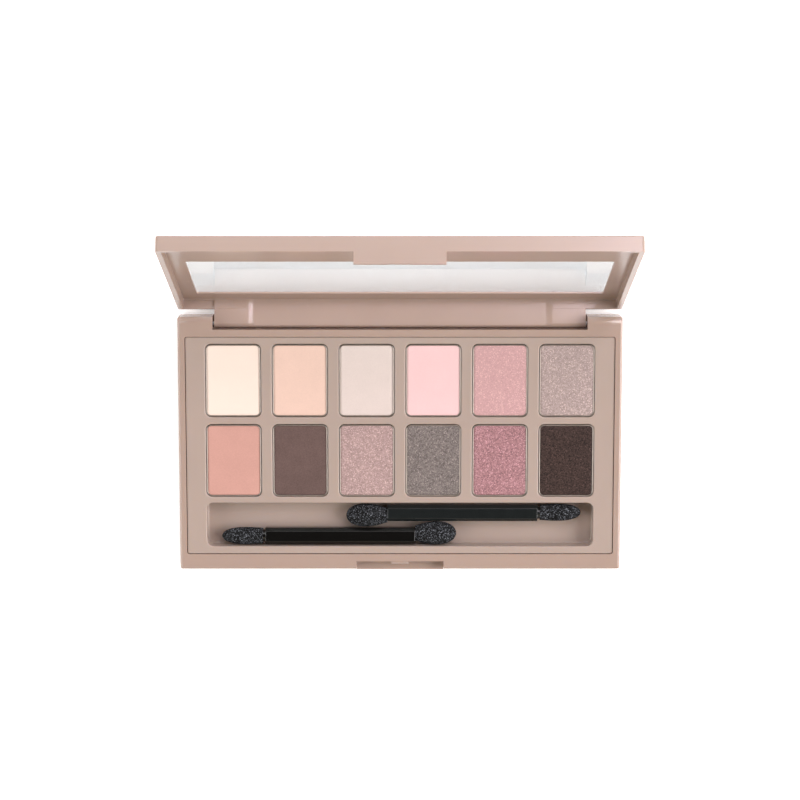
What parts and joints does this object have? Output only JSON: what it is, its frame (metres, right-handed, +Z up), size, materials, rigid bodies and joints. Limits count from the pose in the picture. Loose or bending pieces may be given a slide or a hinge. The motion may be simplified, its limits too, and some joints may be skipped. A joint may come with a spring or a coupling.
{
  "type": "eyeshadow palette",
  "caption": "Flat hinged makeup palette with pressed powder pans, a clear window lid, a front latch tab and sponge applicators in a trough.",
  "frame": {"origin": "centre of the case's flat underside", "axes": "+X to the right along the hinge, +Y towards the hinge at the rear, +Z up out of the deck"},
  "size_m": [0.135, 0.1093, 0.0757],
  "materials": {
    "case": "satin warm beige moulding",
    "tray": "satin warm beige moulding",
    "tin": "thin pressed tin plate",
    "glue": "hot-melt glue",
    "paper": "blank coated paper label",
    "steel": "drawn steel pin",
    "window": "clear polystyrene sheet, glossy",
    "black_plastic": "glossy black moulding",
    "foam": "open-cell black sponge",
    "powder_cream": "pressed powder, matte",
    "powder_peach": "pressed powder, matte",
    "powder_ivory": "pressed powder, matte",
    "powder_petal_pink": "pressed powder, matte",
    "powder_rose": "pressed powder, shimmer",
    "powder_taupe": "pressed powder, shimmer",
    "powder_coral": "pressed powder, matte",
    "powder_cocoa": "pressed powder, matte",
    "powder_mauve": "pressed powder, shimmer",
    "powder_slate": "pressed powder, shimmer",
    "powder_berry": "pressed powder, shimmer",
    "powder_espresso": "pressed powder, shimmer"
  },
  "bodies": {
    "base": {"base_shell": "case", "pan_tray": "tray", "pan_cream": "tin", "pan_peach": "tin", "pan_ivory": "tin", "pan_petal_pink": "tin", "pan_rose": "tin", "pan_taupe": "tin", "pan_coral": "tin", "pan_cocoa": "tin", "pan_mauve": "tin", "pan_slate": "tin", "pan_berry": "tin", "pan_espresso": "tin", "powder_cream": "powder_cream", "powder_peach": "powder_peach", "powder_ivory": "powder_ivory", "powder_petal_pink": "powder_petal_pink", "powder_rose": "powder_rose", "powder_taupe": "powder_taupe", "powder_coral": "powder_coral", "powder_cocoa": "powder_cocoa", "powder_mauve": "powder_mauve", "powder_slate": "powder_slate", "powder_berry": "powder_berry", "powder_espresso": "powder_espresso", "pan_glue": "glue", "underside_label": "paper", "hinge_pin_left": "steel", "hinge_pin_right": "steel"},
    "lid": {"lid_frame": "case", "lid_window": "window"},
    "front_applicator": {"front_applicator_handle": "black_plastic", "front_applicator_large_tip": "foam", "front_applicator_small_tip": "foam"},
    "rear_applicator": {"rear_applicator_handle": "black_plastic", "rear_applicator_large_tip": "foam", "rear_applicator_small_tip": "foam"}
  },
  "joints": [
    {"name": "lid_hinge", "type": "hinge", "parent": "base", "child": "lid", "pos_m": [0, 0.03657, 0.00455], "axis": [1, 0, 0], "range_deg": [0, 109]},
    {"name": "front_applicator_slide", "type": "slide", "parent": "base", "child": "front_applicator", "axis": [1, 0, 0], "range_m": [-0.004, 0.0415]},
    {"name": "rear_applicator_slide", "type": "slide", "parent": "base", "child": "rear_applicator", "axis": [1, 0, 0], "range_m": [-0.0422, 0.0035]}
  ]
}
